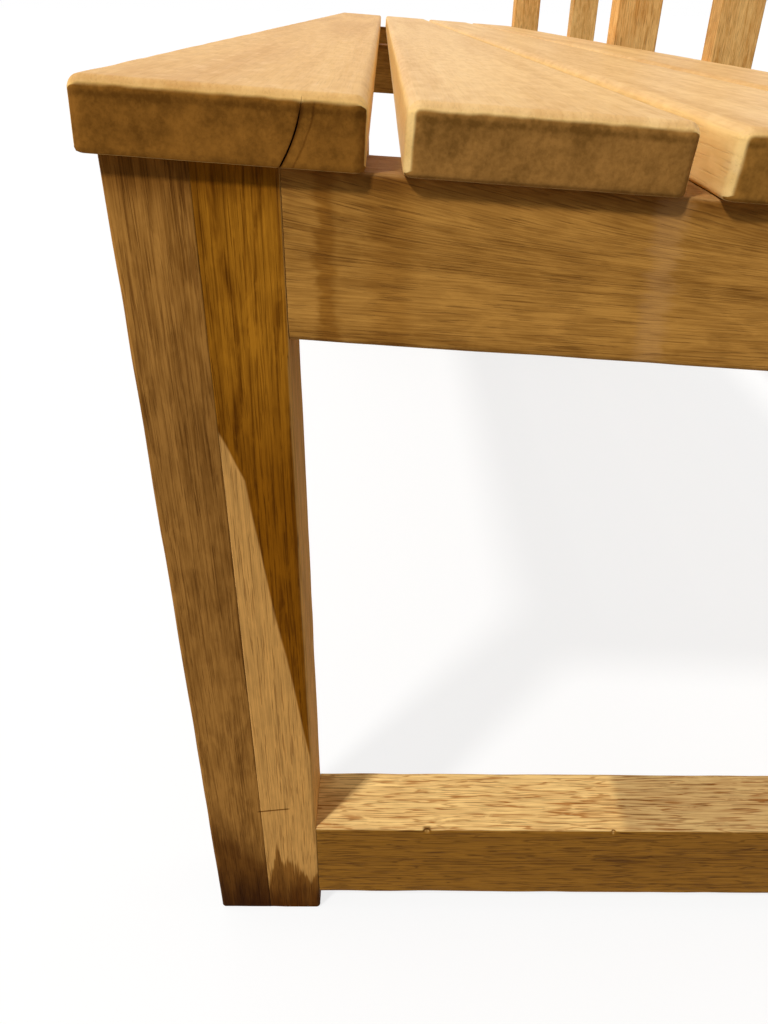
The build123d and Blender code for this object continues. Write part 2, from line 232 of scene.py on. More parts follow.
def worn_board(name, low, high, grain, rounds, wear, seed, coarse_step, place=None, whole=None, extra=None):
    """Mesh of one board with its own arrises and wear.

    rounds lists (axis, side, axis, side, radius) for each rounded edge, place takes the
    points to where the board lies, whole is the box of the member that the board is glued
    into, and extra gives more grid places on an axis.
    """
    radii = {axis: JOINT_ARRIS for axis in AXES}
    for a, _, b, _, radius in rounds:
        largest = np.max(radius(np.array([low, high]))) if callable(radius) else radius
        for axis in (a, b):
            radii[axis] = max(radii[axis], largest)
    lines = []
    for axis in AXES:
        step = coarse_step if axis == grain else None
        more = (extra or {}).get(axis, ())
        lines.append(grid_lines(low[axis], high[axis], radii[axis], step, more))
    points, quads = box_skin(lines)
    for a, side_a, b, side_b, radius in rounds:
        corner = [(high if side > 0 else low)[axis] for axis, side in ((a, side_a), (b, side_b))]
        size = radius(points) if callable(radius) else radius
        round_edge(points, corner, (a, b), (side_a, side_b), size)
    mesh = mesh_from(name, points, quads)
    normals = np.array([normal.vector for normal in mesh.vertex_normals])
    points = wear_down(points, normals, *(whole or (low, high)), grain, wear, seed)
    if place:
        points = place(points)
    mesh.vertices.foreach_set("co", points.astype(np.float32).ravel())
    mesh.update()
    return mesh


def written(work, mesh):
    """The mesh, with what was being worked on written into it."""
    work.to_mesh(mesh)
    work.free()
    return mesh


def joined(name, meshes):
    """One mesh that holds several."""
    work = bmesh.new()
    for mesh in meshes:
        work.from_mesh(mesh)
        bpy.data.meshes.remove(mesh)
    return written(work, bpy.data.meshes.new(name))


def put_in_scene(name, data):
    """New object with its data, linked to the scene."""
    thing = bpy.data.objects.new(name, data)
    bpy.context.scene.collection.objects.link(thing)
    return thing


def paint(mesh, material):
    """Give a mesh one material."""
    mesh.materials.clear()
    mesh.materials.append(material)


def stand_for(node, mesh, material):
    """Show a modelled mesh in place of a CAD node."""
    piece = put_in_scene(node + "_worn", mesh)
    paint(mesh, material)
    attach(piece, "root")
    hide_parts(node)


class Tree:
    """Short calls that build the node tree of a material or a world."""

    def __init__(self, owner):
        owner.use_nodes = True
        self.owner = owner
        self.tree = owner.node_tree
        self.shader = self.tree.nodes.get("Principled BSDF")

    def put(self, socket, value):
        """Link a socket to another node's output, or set its value."""
        if isinstance(value, bpy.types.NodeSocket):
            self.tree.links.new(value, socket)
        else:
            socket.default_value = value

    def fill(self, node, values):
        """Link or set a node's inputs by their names."""
        for name, value in values.items():
            self.put(node.inputs[name], value)

    def math(self, operation, *values, clamp=False):
        """Output of a Math node."""
        node = self.tree.nodes.new("ShaderNodeMath")
        node.operation = operation
        node.use_clamp = clamp
        for socket, value in zip(node.inputs, values):
            self.put(socket, value)
        return node.outputs[0]

    # Product, sum and difference of two values, and a value times a scale with more added
    times = partialmethod(math, "MULTIPLY")
    plus = partialmethod(math, "ADD")
    minus = partialmethod(math, "SUBTRACT")
    scaled = partialmethod(math, "MULTIPLY_ADD")

    def point(self, x, y, z):
        """Three values as one vector."""
        node = self.tree.nodes.new("ShaderNodeCombineXYZ")
        for socket, value in zip(node.inputs, (x, y, z)):
            self.put(socket, value)
        return node.outputs[0]

    def parts(self, vector):
        """The three values of a vector or colour."""
        node = self.tree.nodes.new("ShaderNodeSeparateXYZ")
        self.put(node.inputs[0], vector)
        return node.outputs

    def noise(self, place, scale=1.0, detail=2.0, roughness=0.5, distortion=0.0):
        """Noise texture node at a place."""
        node = self.tree.nodes.new("ShaderNodeTexNoise")
        self.fill(node, {"Vector": place, "Scale": scale, "Detail": detail})
        self.fill(node, {"Roughness": roughness, "Distortion": distortion})
        return node.outputs

    def smooth(self, value, start, end):
        """0 at start and 1 at end, or the other way round if start is the larger."""
        node = self.tree.nodes.new("ShaderNodeMapRange")
        node.interpolation_type = "SMOOTHSTEP"
        self.fill(node, {"Value": value, "From Min": min(start, end), "From Max": max(start, end)})
        self.fill(node, {"To Min": float(start > end), "To Max": float(start < end)})
        return node.outputs["Result"]

    def near(self, value, middle, half, soft):
        """1 where a value lies within half of a middle, with a soft edge."""
        away = self.math("ABSOLUTE", self.minus(value, middle))
        return self.smooth(away, half + soft, max(half - soft, 0.0))

    def lines(self, field, count, start, end):
        """Lines where a field passes one of evenly spaced levels."""
        level = self.math("FRACT", self.times(field, count))
        return self.smooth(self.math("ABSOLUTE", self.minus(level, 0.5)), start, end)

    def mix(self, share, a, b, blend="MIX"):
        """Mix of two colours."""
        node = self.tree.nodes.new("ShaderNodeMix")
        node.data_type = "RGBA"
        node.blend_type = blend
        self.put(node.inputs["Factor"], share)
        for socket, value in zip((node.inputs[6], node.inputs[7]), (a, b)):
            self.put(socket, (*value, 1) if isinstance(value, tuple) else value)
        return node.outputs[2]

    def mapped(self, turn, middle):
        """Place on the object, turned and measured from a board's middle."""
        coordinates = self.tree.nodes.new("ShaderNodeTexCoord")
        node = self.tree.nodes.new("ShaderNodeMapping")
        place = coordinates.outputs["Object"]
        away = [-value for value in middle]
        self.fill(node, {"Vector": place, "Rotation": (turn, 0, 0), "Location": away})
        return node.outputs[0], place, coordinates.outputs["Normal"]


class Tone(NamedTuple):
    """Colours of one kind of oak, as linear light, and how strongly each part of its grain shows.

    top gives a board's upward faces their own light and dark colour: partly bleaching, partly painted light
    and shade of how light falls on tops against sides.
    """

    light: tuple
    dark: tuple
    end: tuple
    worn: tuple
    top: tuple = ()
    rings: float = 0.3
    streaks: float = 0.4
    veins: float = 0.2
    figure: float = 0.3
    broad: float = 0.3
    pores: float = 0.6
    flecks: bool = False


# The legs, rails and stretchers take darker tones than the posts: painted shade of the bench's near end
LEG_TONE = Tone((0.56, 0.262, 0.055), (0.185, 0.068, 0.008), (0.20, 0.080, 0.012), (0.52, 0.27, 0.084),
                rings=0.1, streaks=0.38, veins=0.12, figure=0.32, pores=0.5)
RAIL_TONE = Tone((0.60, 0.290, 0.057), (0.24, 0.094, 0.011), (0.24, 0.11, 0.02), (0.60, 0.33, 0.105),
                 top=((0.45, 0.24, 0.08), (0.25, 0.12, 0.03)), rings=0.12, streaks=0.36, veins=0.08,
                 figure=0.36, pores=0.4)
LOW_TONE = Tone((0.355, 0.153, 0.016), (0.12, 0.044, 0.003), (0.24, 0.11, 0.02), (0.58, 0.33, 0.11),
                top=((1.0, 0.70, 0.28), (0.42, 0.165, 0.035)), rings=0.1, streaks=0.36, veins=0.5,
                figure=0.12, broad=0.2, flecks=True)
POST_TONE = Tone((1.0, 0.635, 0.235), (0.66, 0.305, 0.070), (0.28, 0.13, 0.03), (0.95, 0.60, 0.26),
                 streaks=0.5)
SEAT_TONE = Tone((0.98, 0.67, 0.27), (0.76, 0.46, 0.14), (0.205, 0.080, 0.009), (0.90, 0.62, 0.29),
                 top=((0.82, 0.54, 0.24), (0.59, 0.315, 0.105)), rings=0.06, streaks=0.1, veins=0.03,
                 figure=0.38, broad=0.5, pores=0.1)
BOARD_TONE = Tone((0.84, 0.50, 0.20), (0.50, 0.25, 0.07), (0.30, 0.15, 0.04), (0.84, 0.54, 0.25))
TURNED_TONE = Tone((0.66, 0.35, 0.11), (0.38, 0.17, 0.035), (0.30, 0.13, 0.03), (0.70, 0.41, 0.15))

# Marks and stains; the shades say how much of the tan each plank takes
PLANK_SHADES = (1.0, 0.0, 0.0, 0.5)
PLANK_TAN = (0.92, 0.85, 0.71)
SAPWOOD = (0.83, 0.43, 0.118)
SAPWOOD_STREAK = (0.374, 0.194, 0.053)
STAIN = (0.36, 0.25, 0.09)
DIRT = (0.23, 0.14, 0.03)
GOLDEN = (0.90, 0.76, 0.16)
DEEP = (0.50, 0.40, 0.12)
WET = (0.62, 0.50, 0.24)
# Colour of painted shade
SHADE = (0.55, 0.53, 0.56)
SCUFF = (0.88, 0.61, 0.30)

PORE_SHADE = (0.42, 0.33, 0.25)
BUMP_STRENGTH = 0.55

# Parts of the grain: noise scales across and along it, per metre
HEART_DRIFT = (5.0, 1.5)
RING_FRAY = (70.0, 8.0)
RING_CHANGES = (55.0, 5.0)
COARSE_FIBRE = (300.0, 9.0)
FINE_FIBRE = (1350.0, 30.0)
BROAD = (42.0, 2.4)
FIGURE = (170.0, 62.0)
PORES = (1500.0, 48.0)
VEINS = (36.0, 2.6)
FLECKS = (330.0, 20.0)
SOFT_EDGE = (90.0, 90.0)
DIRT_CLOUDS = (150.0, 30.0)
SAP_WAVES = (45.0, 9.0)
FLAMES = (230.0, 14.0)
SCUFFS = (90.0, 60.0)
VEIN_LEVELS = 15.0
FLECK_LEVELS = 5.0

# The grain's place in the noise moves by a step for each seed, within a range
SEED_STEP = 1.7
SEED_RANGE = 31

# Growth rings, and how far the tree's heart lies from a board's middle
RING_WIDTH = 3.4 * MM
RING_WANDER = 11 * MM
RING_RAGGED = 4.5 * MM
HEART_NEAREST = 45
HEART_FARTHEST = 110
HEART_ASIDE = 20
FLAT_SAWN_SHARE = 0.6

# Worn arrises, paler partly as painted highlight, and end grain: its clouds are noise scale, detail and
# share
ARRIS_WEAR_AND_HIGHLIGHT_WIDTH = 2.6 * MM
END_CLOUDS = ((60.0, 2.0, 0.34), (150.0, 3.0, 0.36), (620.0, 2.0, 0.34))
# Band of painted shade below an end's top arris: how far down, its half width and its share
RIM_DROP = 5.3 * MM
RIM_HALF = 0.9 * MM
RIM_SHADE = -0.35
DARK_END_SHARE = 0.85
PALE_END_SHARES = (1.95, 2.1, 2.8)
PLANK_ENDS = ((0.173, 0.066, 0.007), (0.212, 0.093, 0.016), (0.195, 0.082, 0.011), (0.178, 0.070, 0.008))


class Oak:
    """Material of one board, grown in three dimensions so that grain runs on round its arrises."""

    def __init__(self, name, low, high, grain, tone, seed, turn=0.0, staves=False, dark_corners=(),
                 sweep=0.0):
        self.tree = Tree(bpy.data.materials.new(name))
        self.dark_corners = dark_corners
        self.tone = tone
        self.end = tone.end
        self.random = random.Random(seed)
        self.seed = seed
        self.half = [(b - a) / 2 for a, b in zip(low, high)]
        middle = [(a + b) / 2 for a, b in zip(low, high)]
        local, world, normal = self.tree.mapped(turn, middle)
        self.local = self.tree.parts(local)
        self.grown = list(self.local)
        if sweep:
            self.sweep_grain(sweep)
        self.world = self.tree.parts(world)
        self.normal = self.tree.parts(normal)
        self.grain = grain
        self.across = [axis for axis in AXES if axis != grain]
        self.end_marks = None
        self.find_grain(staves)
        self.colour_face()

    def stretched(self, across, along):
        """Place on the board, scaled across and along its grain, shifted by the board's seed."""
        values = []
        for axis in AXES:
            scale = along if axis == self.grain else across
            values.append(self.tree.scaled(self.grown[axis], scale, self.seed * SEED_STEP % SEED_RANGE))
        return self.tree.point(*values)

    def cloud(self, scales, **options):
        """Noise stretched along the grain."""
        return self.tree.noise(self.stretched(*scales), **options)["Fac"]

    def sweep_grain(self, slope):
        """Let the fibres of a board along Y fall towards its back in the upper half."""
        t = self.tree
        upper = t.smooth(self.local[Z], -14 * MM, 20 * MM)
        from_front = t.plus(self.local[Y], self.half[Y])
        drop = t.times(t.times(from_front, slope), upper)
        self.grown[Z] = t.plus(self.local[Z], drop)

    def find_grain(self, staves):
        """Growth rings about a wandering heart line, fibres, pores and which surface is end grain."""
        t = self.tree
        heart = self.pick_heart()
        wander = t.parts(t.noise(self.stretched(*HEART_DRIFT), detail=1.0)["Color"])
        shift = []
        for number, axis in enumerate(self.across):
            away = t.scaled(wander[number], 2 * RING_WANDER, -RING_WANDER - heart[number])
            shift.append(t.plus(self.local[axis], away))
        if staves:
            second = self.pick_heart()
            self.back_stave = t.math("GREATER_THAN", self.local[Y], 0.0)
            for number in range(2):
                change = t.times(self.back_stave, heart[number] - second[number])
                shift[number] = t.plus(shift[number], change)
        squares = t.scaled(shift[0], shift[0], t.times(shift[1], shift[1]))
        fray = self.cloud(RING_FRAY, detail=3.0)
        radius = t.scaled(fray, RING_RAGGED, t.math("SQRT", squares))
        rings = t.math("DIVIDE", radius, RING_WIDTH)
        years = t.noise(t.point(t.times(rings, 0.6), self.seed, 0.0), detail=1.0)["Fac"]
        phase = t.math("FRACT", t.scaled(years, 2.2, rings))
        rise = t.smooth(phase, 0.9, 1.0)
        fall = t.smooth(phase, 0.5, 0.0)
        strength = t.smooth(self.cloud(RING_CHANGES, detail=1.0), 0.25, 0.65)
        self.early = t.times(t.math("MAXIMUM", rise, fall), strength)
        coarse_fibre = self.cloud(COARSE_FIBRE, roughness=0.6)
        fine_fibre = self.cloud(FINE_FIBRE, roughness=0.65)
        self.fibre = t.scaled(coarse_fibre, 0.3, t.times(fine_fibre, 0.7))
        self.broad = self.cloud(BROAD)
        self.figure = self.cloud(FIGURE, detail=3.0, roughness=0.6, distortion=0.4)
        self.vein = self.find_veins()
        dashes = self.cloud(PORES, detail=1.0)
        room = t.scaled(self.early, -0.08, 0.62)
        self.pore = t.times(t.minus(dashes, room), 18.0, clamp=True)
        self.end_grain = self.find_end_grain()

    def find_veins(self):
        """Thin wandering lines along the grain, or close wavy ones that are broken up."""
        t = self.tree
        if self.tone.flecks:
            lines = t.lines(self.cloud(FLECKS, distortion=0.3), FLECK_LEVELS, 0.22, 0.05)
            return t.times(lines, t.smooth(self.figure, 0.3, 0.48))
        lines = t.lines(self.cloud(VEINS, roughness=0.4), VEIN_LEVELS, 0.17, 0.03)
        return t.times(lines, t.smooth(self.figure, 0.3, 0.55))

    def find_end_grain(self):
        """1 where a surface cuts across the fibres: the ends, their lower arrises and the dark corners."""
        t = self.tree
        facing = t.math("ABSOLUTE", self.normal[self.grain])
        under = t.smooth(self.normal[Z], -0.02, -0.3)
        facing = t.scaled(under, 0.6, facing)
        level = t.smooth(self.normal[Z], 0.4, 0.05)
        for side in self.dark_corners:
            sideways = t.smooth(t.times(self.normal[Y], side), 0.02, 0.3)
            facing = t.scaled(t.times(sideways, level), 0.4, facing)
        ragged = t.scaled(self.cloud(SOFT_EDGE), 0.08, t.minus(facing, 0.04))
        return t.smooth(ragged, 0.82, 0.97)

    def pick_heart(self):
        """Where the tree's heart lies from the board's middle: below a face, or off to a side."""
        side = self.random.choice((-1, 1))
        far = self.random.uniform(HEART_NEAREST, HEART_FARTHEST) * MM
        near = self.random.uniform(-HEART_ASIDE, HEART_ASIDE) * MM
        flat = self.random.random() < FLAT_SAWN_SHARE
        wide = self.half[self.across[0]] > self.half[self.across[1]]
        return (near, side * far) if flat == wide else (side * far, near)

    def edge_wear_and_highlight(self):
        """1 at the arrises and 0 away from them, broken up by noise."""
        t = self.tree
        depths = [t.minus(self.half[axis], t.math("ABSOLUTE", self.local[axis])) for axis in self.across]
        distance = t.math("MAXIMUM", *depths)
        uneven = t.scaled(self.figure, 5 * MM, t.minus(distance, 2.5 * MM))
        return t.smooth(uneven, ARRIS_WEAR_AND_HIGHLIGHT_WIDTH, -ARRIS_WEAR_AND_HIGHLIGHT_WIDTH)

    def colour_face(self):
        """Colour of the long faces, the ends and the worn arrises, whose paler colour is partly painted
        highlight.
        """
        t = self.tree
        tone = self.tone
        broad = t.smooth(self.broad, 0.28, 0.72)
        self.streak = t.smooth(self.fibre, 0.39, 0.61)
        figure = t.smooth(self.figure, 0.3, 0.7)
        deep = t.times(self.early, tone.rings)
        for grain_part, share in ((self.streak, tone.streaks), (self.vein, tone.veins),
                                  (figure, tone.figure), (broad, tone.broad)):
            deep = t.scaled(grain_part, share, deep)
        deep = t.minus(deep, 0.15, clamp=True)
        self.face = t.mix(deep, tone.light, tone.dark)
        # Upward faces take their own colours: partly bleaching, partly painted light and shade
        if tone.top:
            upward = t.smooth(self.normal[Z], 0.3, 0.8)
            self.face = t.mix(upward, self.face, t.mix(deep, *tone.top))
        self.worn = self.edge_wear_and_highlight()

    def stain(self, where, share, colour=STAIN):
        """Darken the long faces by a share where the mark lies."""
        t = self.tree
        self.face = t.mix(t.times(where, share), self.face, t.mix(1.0, self.face, colour, "MULTIPLY"))

    def colour_ends(self):
        """Darker, mottled end grain, with painted light that makes it a little lighter towards its lower
        edge and a band of painted shade below its top arris.
        """
        t = self.tree
        # Painted light: lighter towards the end's lower edge
        spots = t.scaled(self.local[Z], -0.15 / self.half[Z], 0.06)
        for scale, detail, share in END_CLOUDS:
            cloud = self.cloud((scale, scale), detail=detail)
            spots = t.scaled(t.smooth(cloud, 0.3, 0.7), share, spots)
        # Painted shade just below the top arris
        rim = t.near(self.local[Z], self.half[Z] - RIM_DROP, RIM_HALF, RIM_HALF)
        spots = t.scaled(rim, RIM_SHADE, spots, clamp=True)
        dark = tuple(value * DARK_END_SHARE for value in self.end)
        pale = tuple(value * share for value, share in zip(self.end, PALE_END_SHARES))
        end = t.mix(spots, dark, pale)
        if self.end_marks:
            end = t.mix(self.end_marks, end, t.mix(1.0, end, STAIN, "MULTIPLY"))
        self.face = t.mix(self.end_grain, self.face, end)

    def finish(self, roughness=0.62, bump=0.3 * MM, wear_and_highlight_share=0.35, specular=0.08):
        """Put the last touches and the shader's own values on."""
        t = self.tree
        self.colour_ends()
        pore = t.times(self.pore, self.tone.pores)
        dark = t.mix(1.0, self.face, PORE_SHADE, "MULTIPLY")
        colour = t.mix(pore, self.face, dark)
        # Paler arrises: partly wear, partly painted highlight
        worn = t.times(self.worn, wear_and_highlight_share)
        worn = t.times(worn, t.minus(1.0, self.end_grain))
        colour = t.mix(worn, colour, self.tone.worn)
        gloss = t.scaled(self.fibre, 0.22, roughness - 0.11)
        gloss = t.scaled(self.end_grain, 0.9 - roughness, gloss)
        t.fill(t.shader, {"Base Color": colour, "Roughness": gloss, "Specular IOR Level": specular})
        height = t.scaled(self.pore, -0.9, t.times(self.fibre, 0.9))
        height = t.times(height, t.scaled(self.end_grain, -0.6, 1.0))
        node = t.tree.nodes.new("ShaderNodeBump")
        t.fill(node, {"Strength": BUMP_STRENGTH, "Distance": bump, "Height": height})
        t.put(t.shader.inputs["Normal"], node.outputs["Normal"])
        return t.owner


# Legs, seat rails and stretchers, which the picture shows close up

# The rail's lowest point lies this share of the way down from the leg's top
RAIL_JOINT_SHARE = 0.78

# Holes in the rails for the seat screws; points closer than this belong to one screw
HOLE_RADIUS = 5.15 * MM
HOLE_DEPTH = 26 * MM
HOLE_SIDES = 32
SCREW_APART = 14 * MM
HEAD_HEIGHT = 3.2 * MM

# Small knocks in a stretcher's outer top arris: how far from the leg, and half their length
NICK_PLACES = ((62.5 * MM, 2.4 * MM), (168 * MM, 1.4 * MM))
NICK_DROP = 1.5 * MM
NICK_WIDTH = 3 * MM
NICK_HEIGHT = 1.8 * MM
NICK_DEPTH = 1.3 * MM
NICK_LINES = 11


def leg_mesh(side, seed):
    """Two staves, eased along the free arrises and square where the rail and stretcher meet them."""
    node = f"front_leg_{side}"
    low, high = node_corners(node)
    rail_low, _ = node_corners(f"seat_rail_{side}")
    stretcher_low, stretcher_high = node_corners(f"floor_stretcher_{side}")
    glue = (low[Y] + high[Y]) / 2
    rail_underside = high[Z] - (high[Z] - rail_low[Z]) * RAIL_JOINT_SHARE

    def at_joint(points):
        """1 at the heights where the rail or the stretcher meets the leg."""
        height = points[:, Z]
        at_rail = smooth_step(height, rail_underside - 2 * MM, rail_underside + MM)
        above = smooth_step(height, stretcher_low[Z] - 2 * MM, stretcher_low[Z] + MM)
        below = 1 - smooth_step(height, stretcher_high[Z] - MM, stretcher_high[Z] + 2 * MM)
        return np.maximum(at_rail, above * below)

    def back_arris(points):
        return STOCK_ARRIS + (JOINT_ARRIS - STOCK_ARRIS) * at_joint(points)

    def exposed(points):
        return 1 - at_joint(points) * (points[:, Y] > glue)

    def slope_top(points):
        """Lower the top to the back, as the seat falls."""
        share = (points[:, Z] - low[Z]) / (high[Z] - low[Z])
        fall = (points[:, Y] - low[Y]) * math.tan(SEAT_SLOPE)
        moved = points.copy()
        moved[:, Z] -= fall * share
        return moved

    wear = Wear(face=0.12 * MM, exposed=exposed)
    staves = []
    halves = ((-1, low[Y], glue, STOCK_ARRIS), (1, glue, high[Y], back_arris))
    for number, (outer, y_low, y_high, free) in enumerate(halves):
        rounds = []
        for face in (-1, 1):
            rounds.append((X, face, Y, outer, free))
            rounds.append((X, face, Y, -outer, GLUE_ARRIS))
            rounds.append((X, face, Z, -1, FOOT_ARRIS))
        rounds.append((Y, outer, Z, -1, FOOT_ARRIS))
        corners = np.array([low[X], y_low, low[Z]]), np.array([high[X], y_high, high[Z]])
        staves.append(
            worn_board(node, *corners, Z, rounds, wear, seed + number, STOCK_STEP, slope_top, (low, high))
        )
    return joined(node, staves)


# Edges of a rail or stretcher: its long arrises, and its ends where it meets the leg and the post
CROSS_ROUNDS = [(X, a, Z, b, STOCK_ARRIS) for a in (-1, 1) for b in (-1, 1)]
CROSS_ROUNDS += [(Y, a, X, b, JOINT_ARRIS) for a in (-1, 1) for b in (-1, 1)]


def past_joints(low, high):
    """Box of a cross member with both ends moved out, so that its joints count as no arris."""
    reach = np.array([0, high[Y] - low[Y], 0])
    return low - reach, high + reach


def rail_mesh(side, seed):
    """Rail under the planks, square at its ends, with screw holes, falling with the seat."""
    node = f"seat_rail_{side}"
    leg_low, leg_high = node_corners(f"front_leg_{side}")
    post_low, _ = node_corners(f"front_post_{side}")
    low, high = node_corners(node)
    height = (leg_high[Y] - leg_low[Y]) / math.cos(SEAT_SLOPE)
    top = leg_high[Z] - (leg_high[Y] - leg_low[Y]) * math.tan(SEAT_SLOPE)

    def slope_down(points):
        moved = points.copy()
        moved[:, Z] -= (points[:, Y] - leg_high[Y]) * math.tan(SEAT_SLOPE)
        return moved

    corners = np.array([low[X], leg_high[Y], top - height]), np.array([high[X], post_low[Y], top])
    whole = past_joints(*corners)
    mesh = worn_board(node, *corners, Y, CROSS_ROUNDS, Wear(), seed, STOCK_STEP, slope_down, whole)
    holes = [place for place in screw_places()
             if low[X] < place[X] < high[X] and leg_high[Y] < place[Y] < post_low[Y]]
    return cut_out(mesh, hole_blade(holes))


def screw_places():
    """Lowest point of each seat screw's axis."""
    turned = node_points("seat_screws", SEAT_TURN)
    places = []
    while len(turned):
        close = np.hypot(*(turned[:, :2] - turned[0, :2]).T) < SCREW_APART
        group = turned[close]
        middle = (group.min(0) + group.max(0)) / 2
        middle[Z] = group[:, Z].min()
        places.append(np.array(SEAT_TURN.inverted()) @ middle)
        turned = turned[~close]
    return places


def hole_blade(places):
    """Round bars that cut the holes in which the screws sit."""
    work = bmesh.new()
    for place in places:
        start = Matrix.Translation(Vector(place)) @ SEAT_TURN.inverted().to_4x4()
        reach = Matrix.Translation((0, 0, HEAD_HEIGHT - HOLE_DEPTH / 2))
        bmesh.ops.create_cone(
            work, cap_ends=True, segments=HOLE_SIDES, radius1=HOLE_RADIUS, radius2=HOLE_RADIUS,
            depth=HOLE_DEPTH, matrix=start @ reach,
        )
    return written(work, bpy.data.meshes.new("hole_blade"))


def stretcher_mesh(side, seed):
    """Low stretcher, square at its ends."""
    node = f"floor_stretcher_{side}"
    _, leg_high = node_corners(f"front_leg_{side}")
    post_low, _ = node_corners(f"front_post_{side}")
    low, high = node_corners(node)
    corners = np.array([low[X], leg_high[Y], low[Z]]), np.array([high[X], post_low[Y], high[Z]])
    nicks = []
    extra = {Y: []}
    for reach, size in NICK_PLACES:
        middle = leg_high[Y] + reach
        place = (high[X], middle, high[Z] - NICK_DROP)
        nicks.append((place, (NICK_WIDTH, size, NICK_HEIGHT), NICK_DEPTH))
        extra[Y].extend(np.linspace(middle - size, middle + size, NICK_LINES))
    wear = Wear(arris=0.45 * MM, nicks=nicks)
    whole = past_joints(*corners)
    return worn_board(node, *corners, Y, CROSS_ROUNDS, wear, seed, STOCK_STEP, whole=whole, extra=extra)


# Seat planks. The first has a drying crack in its right end, which bends like a growth ring.
CRACKED_PLANK = 1
CRACK_START_SHARE = 0.777
CRACK_BEND_SHARE = 0.074
CRACK_BEND_POWER = 1.9
CRACK_WIDTH = 0.65 * MM
SECOND_CRACK_PLACE = 4.2 * MM
CRACK_DEPTH = 34 * MM
CRACK_POINTS = 14
SHARP_ANGLE = math.radians(38)


def crack_place(depth_share):
    """Share of the plank's width at which the crack lies, by the share of its thickness from the top."""
    return CRACK_START_SHARE - CRACK_BEND_SHARE * depth_share**CRACK_BEND_POWER


def mark_crack(wood):
    """Darker wood beside the crack, and a second line where the next ring has started to part."""
    t = wood.tree
    depth = t.scaled(wood.local[Z], -0.5 / wood.half[Z], 0.5, clamp=True)
    bend = t.math("POWER", depth, CRACK_BEND_POWER)
    share = t.scaled(bend, -CRACK_BEND_SHARE, CRACK_START_SHARE - 0.5)
    away = t.scaled(share, -2 * wood.half[Y], wood.local[Y])
    ragged = t.scaled(wood.figure, 1.2 * MM, t.minus(away, 0.6 * MM))
    beside = t.times(t.near(ragged, 0.2 * MM, 0.7 * MM, 0.7 * MM), 0.7)
    second = t.times(t.near(ragged, SECOND_CRACK_PLACE, 0.2 * MM, 0.4 * MM), 0.5)
    wood.end_marks = t.math("MAXIMUM", beside, second)


def crack_blade(low, high, place):
    """Thin bent wedge that cuts the crack, widest at the end face and at mid height."""
    points = []
    for share in np.linspace(0.07, 1.12, CRACK_POINTS):
        width = CRACK_WIDTH * (0.2 + 0.8 * float(smooth_step(share, 0.05, 0.5)))
        middle = low[Y] + (high[Y] - low[Y]) * crack_place(share)
        height = high[Z] + (low[Z] - high[Z]) * share
        reach = high[X] - CRACK_DEPTH * (0.25 + 0.75 * float(smooth_step(share, 0, 0.8)))
        for x, half in ((high[X] + MM, width / 2), (reach, width / 14)):
            points += [(x, middle - half, height), (x, middle + half, height)]
    quads = [(0, 2, 3, 1)]
    for ring in range(0, 4 * (CRACK_POINTS - 1), 4):
        for a, b in ((0, 1), (1, 3), (3, 2), (2, 0)):
            quads.append((ring + a, ring + b, ring + 4 + b, ring + 4 + a))
    last = 4 * (CRACK_POINTS - 1)
    quads.append((last, last + 1, last + 3, last + 2))
    return mesh_from("crack_blade", place(np.array(points)), np.array(quads))


def cut_out(mesh, blade):
    """The mesh without what the blade covers."""
    work = bmesh.new()
    work.from_mesh(blade)
    bmesh.ops.recalc_face_normals(work, faces=work.faces)
    piece = put_in_scene("cut_piece", mesh)
    tool = put_in_scene("cut_tool", written(work, blade))
    cut = piece.modifiers.new("cut", "BOOLEAN")
    cut.object = tool
    cut.solver = "EXACT"
    graph = bpy.context.evaluated_depsgraph_get()
    result = bpy.data.meshes.new_from_object(piece.evaluated_get(graph))
    for thing in (piece, tool):
        bpy.data.objects.remove(thing)
    result.set_sharp_from_angle(angle=SHARP_ANGLE)
    return result


def plank_mesh(number, seed):
    """Plank with round, knocked top arrises."""
    node = f"seat_plank_{number}"
    low, high = node_corners(node, SEAT_TURN)
    rounds = []
    for side in (-1, 1):
        for axis in (Y, X):
            rounds.append((axis, side, Z, 1, PLANK_ARRIS))
            rounds.append((axis, side, Z, -1, PLANK_UNDER_ARRIS))
    rounds += [(X, a, Y, b, PLANK_ARRIS) for a in (-1, 1) for b in (-1, 1)]
    back = np.array(SEAT_TURN.inverted())

    def exposed(points):
        """Only the upper arrises are knocked."""
        return smooth_step(points[:, Z], low[Z], high[Z] - PLANK_ARRIS)

    def place(points):
        return points @ back.T

    wear = Wear(face=0.15 * MM, end=0.25 * MM, arris=0.45 * MM, reach=8 * MM, exposed=exposed)
    mesh = worn_board(node, low, high, X, rounds, wear, seed, PLANK_STEP, place)
    if number == CRACKED_PLANK:
        mesh = cut_out(mesh, crack_blade(low, high, place))
    return mesh


# Marks of single boards: places are measured from the leg's front face and from the floor
SAP_TOP = 325 * MM
SAP_WIDTH_THERE = 6 * MM
SAP_POINT_SPREAD = 0.4
SAP_SPREAD = 0.125
SAP_WAVE = 2.5 * MM
PATCH_PEAK = (37 * MM, 52 * MM)
PATCH_FALL = 1.1
PATCH_RISE = 4.0
PATCH_RAGGED = 30 * MM
FOOT_DIRT_TOP = 46 * MM
FOOT_DIRT_FULL = 2 * MM
CORNER_DIRT_TOP = 108 * MM
CORNER_DIRT_FULL = 74 * MM
CORNER_DIRT_FALL = 1.3
DIRT_RAGGED = 22 * MM
